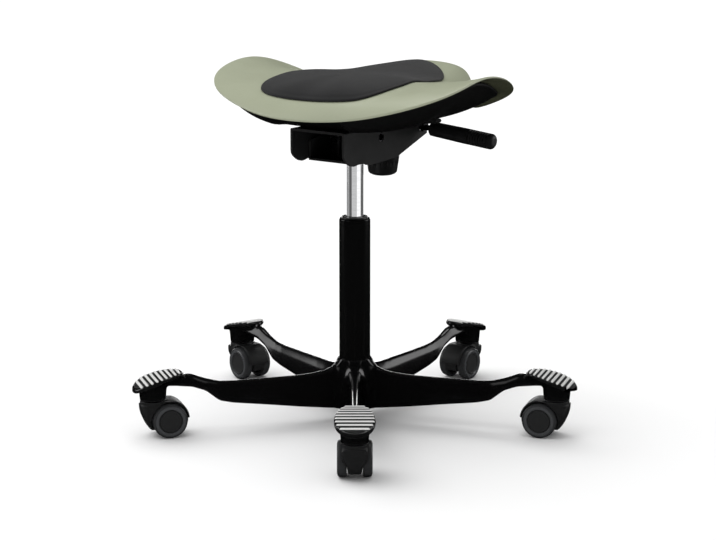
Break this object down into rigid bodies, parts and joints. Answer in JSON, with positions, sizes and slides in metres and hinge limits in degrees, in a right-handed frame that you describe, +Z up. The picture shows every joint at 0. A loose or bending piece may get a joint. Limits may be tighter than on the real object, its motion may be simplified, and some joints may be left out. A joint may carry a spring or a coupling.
{
  "type": "saddle stool",
  "caption": "Height-adjustable saddle stool with a winged shell seat, central pad, tilting mechanism, telescopic column and star base on twin-wheel castors.",
  "frame": {"origin": "on the floor, under the axis of the column", "axes": "+Z up; the front of the seat points along -Y, the user's right hand is on the -X side"},
  "size_m": [0.702, 0.6708, 0.5728],
  "materials": {
    "base_black": "gloss",
    "foot_grey": "satin",
    "castor_black": "matte",
    "castor_disc": "satin",
    "castor_tyre": "matte",
    "column_black": "satin",
    "bush_black": "matte",
    "chrome": "polished",
    "steel": "satin",
    "dark_steel": "satin",
    "mech_black": "satin",
    "knob_black": "satin",
    "seat_green": "satin",
    "under_black": "matte",
    "pad_charcoal": "matte"
  },
  "bodies": {
    "base": {"base_star": "base_black", "foot_inlays": "foot_grey", "castor_1_stem": "steel", "castor_2_stem": "steel", "castor_3_stem": "steel", "castor_4_stem": "steel", "castor_5_stem": "steel", "column_tube": "column_black", "column_bush": "bush_black", "thrust_bearing": "steel"},
    "lift_rod": {"piston_rod": "steel", "rod_clip": "steel"},
    "carriage": {"lift_cylinder": "chrome", "tilt_housing": "mech_black", "pivot_pins": "dark_steel", "tension_spring": "dark_steel"},
    "valve_button": {"valve_button": "steel"},
    "valve_rocker": {"valve_rocker": "steel"},
    "knob": {"tension_bolt": "steel", "tension_knob": "knob_black"},
    "seat": {"seat_carrier": "mech_black", "under_shell": "under_black", "seat_shell": "seat_green", "seat_pad": "pad_charcoal", "seat_screws": "steel"},
    "height_lever": {"height_lever": "dark_steel", "lever_grip": "knob_black"},
    "tilt_lock": {"tilt_lock_tab": "mech_black"},
    "castor_1": {"castor_1_hood": "castor_black", "castor_1_axle": "steel"},
    "castor_1_wheel_a": {"castor_1_wheel_a": "castor_disc", "castor_1_tyre_a": "castor_tyre"},
    "castor_1_wheel_b": {"castor_1_wheel_b": "castor_disc", "castor_1_tyre_b": "castor_tyre"},
    "castor_2": {"castor_2_hood": "castor_black", "castor_2_axle": "steel"},
    "castor_2_wheel_a": {"castor_2_wheel_a": "castor_disc", "castor_2_tyre_a": "castor_tyre"},
    "castor_2_wheel_b": {"castor_2_wheel_b": "castor_disc", "castor_2_tyre_b": "castor_tyre"},
    "castor_3": {"castor_3_hood": "castor_black", "castor_3_axle": "steel"},
    "castor_3_wheel_a": {"castor_3_wheel_a": "castor_disc", "castor_3_tyre_a": "castor_tyre"},
    "castor_3_wheel_b": {"castor_3_wheel_b": "castor_disc", "castor_3_tyre_b": "castor_tyre"},
    "castor_4": {"castor_4_hood": "castor_black", "castor_4_axle": "steel"},
    "castor_4_wheel_a": {"castor_4_wheel_a": "castor_disc", "castor_4_tyre_a": "castor_tyre"},
    "castor_4_wheel_b": {"castor_4_wheel_b": "castor_disc", "castor_4_tyre_b": "castor_tyre"},
    "castor_5": {"castor_5_hood": "castor_black", "castor_5_axle": "steel"},
    "castor_5_wheel_a": {"castor_5_wheel_a": "castor_disc", "castor_5_tyre_a": "castor_tyre"},
    "castor_5_wheel_b": {"castor_5_wheel_b": "castor_disc", "castor_5_tyre_b": "castor_tyre"}
  },
  "joints": [
    {"name": "seat_swivel", "type": "hinge", "parent": "base", "child": "lift_rod", "pos_m": [0, 0, 0.035], "axis": [0, 0, 1], "continuous": true},
    {"name": "seat_height", "type": "slide", "parent": "lift_rod", "child": "carriage", "axis": [0, 0, 1], "range_m": [-0.07, 0.12]},
    {"name": "seat_tilt", "type": "hinge", "parent": "carriage", "child": "seat", "pos_m": [0, 0, 0.466], "axis": [1, 0, 0], "range_deg": [-6, 5], "stiffness_Nm_per_rad": 90, "deforming": ["tension_spring"]},
    {"name": "height_lever_lift", "type": "hinge", "parent": "seat", "child": "height_lever", "pos_m": [-0.05, -0.112, 0.4702], "axis": [0, 1, 0], "range_deg": [0, 8], "stiffness_Nm_per_rad": 2, "springref_deg": -11.46},
    {"name": "valve_rocker_press", "type": "hinge", "parent": "carriage", "child": "valve_rocker", "pos_m": [0, 0.024, 0.4639], "axis": [1, 0, 0], "range_deg": [0, 6]},
    {"name": "valve_button_press", "type": "slide", "parent": "carriage", "child": "valve_button", "axis": [0, 0, 1], "range_m": [-0.0024, 0]},
    {"name": "tilt_lock_pull", "type": "slide", "parent": "seat", "child": "tilt_lock", "axis": [-1, 0, 0], "range_m": [0, 0.008]},
    {"name": "tension_knob_turn", "type": "hinge", "parent": "carriage", "child": "knob", "pos_m": [0, -0.077, 0.41], "axis": [0, 0, 1], "continuous": true},
    {"name": "castor_1_swivel", "type": "hinge", "parent": "base", "child": "castor_1", "pos_m": [0, -0.335, 0.05], "axis": [0, 0, 1], "continuous": true},
    {"name": "castor_1_roll_a", "type": "hinge", "parent": "castor_1", "child": "castor_1_wheel_a", "pos_m": [0, -0.312, 0.02775], "axis": [1, 0, 0], "continuous": true},
    {"name": "castor_1_roll_b", "type": "hinge", "parent": "castor_1", "child": "castor_1_wheel_b", "pos_m": [0, -0.312, 0.02775], "axis": [1, 0, 0], "continuous": true},
    {"name": "castor_2_swivel", "type": "hinge", "parent": "base", "child": "castor_2", "pos_m": [0.3186, -0.10352, 0.05], "axis": [0, 0, 1], "continuous": true},
    {"name": "castor_2_roll_a", "type": "hinge", "parent": "castor_2", "child": "castor_2_wheel_a", "pos_m": [0.29673, -0.09641, 0.02775], "axis": [0.309, 0.9511, 0], "continuous": true},
    {"name": "castor_2_roll_b", "type": "hinge", "parent": "castor_2", "child": "castor_2_wheel_b", "pos_m": [0.29673, -0.09641, 0.02775], "axis": [0.309, 0.9511, 0], "continuous": true},
    {"name": "castor_3_swivel", "type": "hinge", "parent": "base", "child": "castor_3", "pos_m": [0.19691, 0.27102, 0.05], "axis": [0, 0, 1], "continuous": true},
    {"name": "castor_3_roll_a", "type": "hinge", "parent": "castor_3", "child": "castor_3_wheel_a", "pos_m": [0.18339, 0.25241, 0.02775], "axis": [-0.809, 0.5878, 0], "continuous": true},
    {"name": "castor_3_roll_b", "type": "hinge", "parent": "castor_3", "child": "castor_3_wheel_b", "pos_m": [0.18339, 0.25241, 0.02775], "axis": [-0.809, 0.5878, 0], "continuous": true},
    {"name": "castor_4_swivel", "type": "hinge", "parent": "base", "child": "castor_4", "pos_m": [-0.19691, 0.27102, 0.05], "axis": [0, 0, 1], "continuous": true},
    {"name": "castor_4_roll_a", "type": "hinge", "parent": "castor_4", "child": "castor_4_wheel_a", "pos_m": [-0.18339, 0.25241, 0.02775], "axis": [-0.809, -0.5878, 0], "continuous": true},
    {"name": "castor_4_roll_b", "type": "hinge", "parent": "castor_4", "child": "castor_4_wheel_b", "pos_m": [-0.18339, 0.25241, 0.02775], "axis": [-0.809, -0.5878, 0], "continuous": true},
    {"name": "castor_5_swivel", "type": "hinge", "parent": "base", "child": "castor_5", "pos_m": [-0.3186, -0.10352, 0.05], "axis": [0, 0, 1], "continuous": true},
    {"name": "castor_5_roll_a", "type": "hinge", "parent": "castor_5", "child": "castor_5_wheel_a", "pos_m": [-0.29673, -0.09641, 0.02775], "axis": [0.309, -0.9511, 0], "continuous": true},
    {"name": "castor_5_roll_b", "type": "hinge", "parent": "castor_5", "child": "castor_5_wheel_b", "pos_m": [-0.29673, -0.09641, 0.02775], "axis": [0.309, -0.9511, 0], "continuous": true}
  ],
  "couplings": [
    {"joint": "valve_rocker_press", "follows": "height_lever_lift", "ratio": 0.75},
    {"joint": "valve_button_press", "follows": "height_lever_lift", "m_per_rad": -0.01719}
  ]
}
